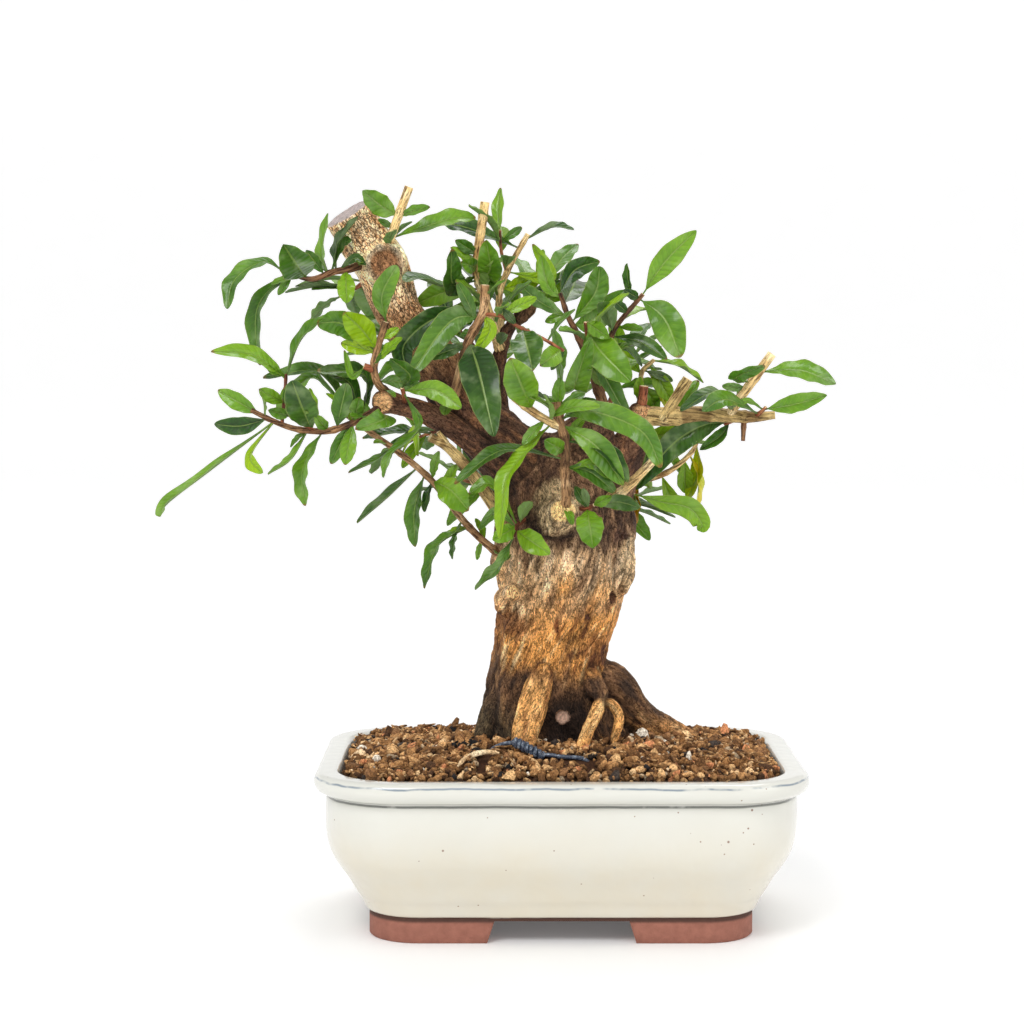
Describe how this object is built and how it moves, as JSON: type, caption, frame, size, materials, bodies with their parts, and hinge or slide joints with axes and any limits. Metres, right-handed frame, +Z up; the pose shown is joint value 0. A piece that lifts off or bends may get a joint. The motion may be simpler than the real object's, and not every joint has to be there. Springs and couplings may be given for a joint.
{
  "type": "potted bonsai tree",
  "caption": "Old leaning miniature tree with a thick burred trunk, pruned branch stubs and small glossy leaves, wired into gritty soil in a glazed rectangular pot on four corner feet",
  "frame": {"origin": "middle of the bounding box's footprint, on the plane under the feet", "axes": "+Z up, the front of the pot and of the tree towards -Y, the pot's long side along X"},
  "size_m": [0.332, 0.176, 0.3665],
  "materials": {
    "pot": "gloss",
    "soil": "rough",
    "tie_wire": "satin",
    "drain_screen": "matte",
    "trunk": "rough",
    "leafy_shoot": "gloss"
  },
  "bodies": {
    "root": {"pot": "pot", "soil": "soil", "tie_wire": "tie_wire", "drain_screen_left": "drain_screen", "drain_screen_right": "drain_screen", "trunk": "trunk", "shoot_front_burl": "leafy_shoot", "shoot_front_arm": "leafy_shoot", "shoot_crown_front": "leafy_shoot", "shoot_crown_right": "leafy_shoot", "shoot_crown_middle": "leafy_shoot", "shoot_crown_stick": "leafy_shoot", "shoot_crown_left": "leafy_shoot", "shoot_stump_stick": "leafy_shoot", "shoot_stump_left": "leafy_shoot", "shoot_arm_stem": "leafy_shoot", "shoot_left_knob": "leafy_shoot", "shoot_left_stem": "leafy_shoot", "shoot_low_left": "leafy_shoot", "shoot_trunk_left": "leafy_shoot", "shoot_burl_right": "leafy_shoot", "shoot_right_low": "leafy_shoot", "shoot_right_under": "leafy_shoot", "shoot_right_tip": "leafy_shoot", "shoot_right_stick": "leafy_shoot", "shoot_right_yellow": "leafy_shoot", "shoot_back_arm": "leafy_shoot", "shoot_back_low_left": "leafy_shoot", "shoot_back_upright": "leafy_shoot", "shoot_back_crown": "leafy_shoot", "shoot_back_right_crown": "leafy_shoot", "shoot_back_shoulder": "leafy_shoot", "shoot_back_middle": "leafy_shoot", "shoot_back_stump": "leafy_shoot", "shoot_back_trunk_right": "leafy_shoot", "shoot_back_trunk_left": "leafy_shoot"}
  },
  "joints": []
}
